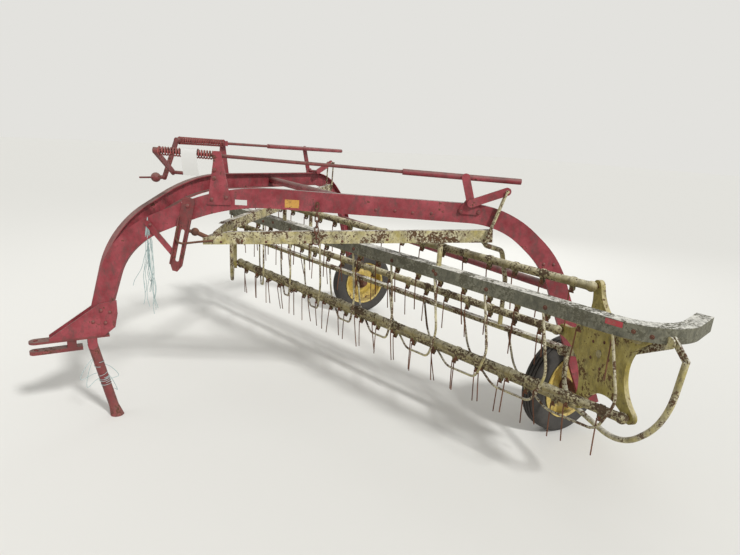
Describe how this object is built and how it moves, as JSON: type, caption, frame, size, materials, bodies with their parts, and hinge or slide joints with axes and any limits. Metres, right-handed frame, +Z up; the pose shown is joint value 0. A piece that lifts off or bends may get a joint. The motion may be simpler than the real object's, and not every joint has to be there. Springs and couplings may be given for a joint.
{
  "type": "bar rake",
  "caption": "Towed oblique-reel bar rake: two arched channels on wheels carry a basket whose tooth bars turn between inclined heads to sweep hay sideways into a windrow",
  "frame": {"origin": "on the ground under the middle of the bounding box", "axes": "+X forward to the drawbar, +Y to the machine's left, +Z up from the ground"},
  "size_m": [3.3074, 4.4434, 1.7472],
  "materials": {
    "red_paint": "weathered, dull",
    "cream_paint": "faded, chalky",
    "rusty_steel": "rusty",
    "grey_paint": "faded, chalky",
    "yellow_rim": "faded",
    "tyre": "matte"
  },
  "bodies": {
    "frame": {"arch_left": "red_paint", "arch_right": "red_paint", "brace_tube_front": "red_paint", "brace_tube_rear": "red_paint", "hitch_plate_left": "red_paint", "hitch_plate_right": "red_paint", "tongue": "red_paint", "drawbar_strap": "red_paint", "drawbar_spacer": "red_paint", "stand_bracket": "red_paint", "lift_rod_left": "rusty_steel", "lift_sleeve_left": "red_paint", "lift_spring_left": "rusty_steel", "lift_guide_left": "red_paint", "crank_left": "rusty_steel", "lift_rod_right": "rusty_steel", "lift_sleeve_right": "red_paint", "lift_spring_right": "rusty_steel", "lift_guide_right": "red_paint", "crank_right": "rusty_steel", "bell_crank_left": "red_paint", "bell_bracket_left": "red_paint", "lift_link_left": "cream_paint", "bell_crank_right": "red_paint", "bell_bracket_right": "red_paint", "lift_link_right": "cream_paint", "hanger": "red_paint", "hanger_brace": "red_paint", "draft_arm_left": "cream_paint", "draft_arm_right": "cream_paint", "draft_pivot": "rusty_steel", "spindle_left": "rusty_steel", "spindle_right": "rusty_steel", "front_beam": "cream_paint", "rear_rail": "cream_paint", "end_frame_left": "cream_paint", "end_frame_right": "cream_paint", "end_guard_left": "cream_paint", "end_guard_right": "cream_paint", "beam_post_left": "cream_paint", "beam_post_right": "cream_paint", "rail_post_right": "cream_paint", "rail_hanger_left": "cream_paint", "strippers": "grey_paint", "chain": "rusty_steel"},
    "wheel_left": {"tyre_left": "tyre", "rim_left": "yellow_rim", "hub_left": "rusty_steel"},
    "wheel_right": {"tyre_right": "tyre", "rim_right": "yellow_rim", "hub_right": "rusty_steel"},
    "stand": {"parking_stand": "red_paint"},
    "head_left": {"reel_head_left": "cream_paint"},
    "head_right": {"reel_head_right": "cream_paint"},
    "bar_1": {"tooth_bar_1": "grey_paint"},
    "bar_2": {"tooth_bar_2": "grey_paint"},
    "bar_3": {"tooth_bar_3": "grey_paint"},
    "bar_4": {"tooth_bar_4": "grey_paint"},
    "bar_5": {"tooth_bar_5": "grey_paint"}
  },
  "joints": [
    {"name": "wheel_left_spin", "type": "hinge", "parent": "frame", "child": "wheel_left", "pos_m": [-1.33125, 1.2154, 0.3225], "axis": [0, 1, 0], "continuous": true},
    {"name": "wheel_right_spin", "type": "hinge", "parent": "frame", "child": "wheel_right", "pos_m": [-1.33125, -1.4746, 0.3225], "axis": [0, 1, 0], "continuous": true},
    {"name": "stand_fold", "type": "hinge", "parent": "frame", "child": "stand", "pos_m": [1.32375, -0.1296, 0.498], "axis": [0, 1, 0], "range_deg": [0, 75]},
    {"name": "reel_spin", "type": "hinge", "parent": "frame", "child": "head_left", "pos_m": [-0.90425, 1.7094, 0.776], "axis": [0.9539, -0.3, 0], "continuous": true},
    {"name": "reel_far_spin", "type": "hinge", "parent": "frame", "child": "head_right", "pos_m": [-0.03548, -1.52387, 0.89318], "axis": [0.9539, -0.3, 0], "continuous": true},
    {"name": "bar_1_swing", "type": "hinge", "parent": "head_left", "child": "bar_1", "pos_m": [-0.81941, 1.97914, 0.56137], "axis": [0.9539, -0.3, 0], "continuous": true},
    {"name": "bar_2_swing", "type": "hinge", "parent": "head_left", "child": "bar_2", "pos_m": [-0.81679, 1.98747, 0.9786], "axis": [0.9539, -0.3, 0], "continuous": true},
    {"name": "bar_3_swing", "type": "hinge", "parent": "head_left", "child": "bar_3", "pos_m": [-0.93504, 1.61152, 1.11585], "axis": [0.9539, -0.3, 0], "continuous": true},
    {"name": "bar_4_swing", "type": "hinge", "parent": "head_left", "child": "bar_4", "pos_m": [-1.01074, 1.37083, 0.78343], "axis": [0.9539, -0.3, 0], "continuous": true},
    {"name": "bar_5_swing", "type": "hinge", "parent": "head_left", "child": "bar_5", "pos_m": [-0.93928, 1.59803, 0.44075], "axis": [0.9539, -0.3, 0], "continuous": true}
  ],
  "couplings": [
    {"joint": "reel_far_spin", "follows": "reel_spin", "ratio": 1},
    {"joint": "bar_1_swing", "follows": "reel_spin", "ratio": -1},
    {"joint": "bar_2_swing", "follows": "reel_spin", "ratio": -1},
    {"joint": "bar_3_swing", "follows": "reel_spin", "ratio": -1},
    {"joint": "bar_4_swing", "follows": "reel_spin", "ratio": -1},
    {"joint": "bar_5_swing", "follows": "reel_spin", "ratio": -1}
  ]
}
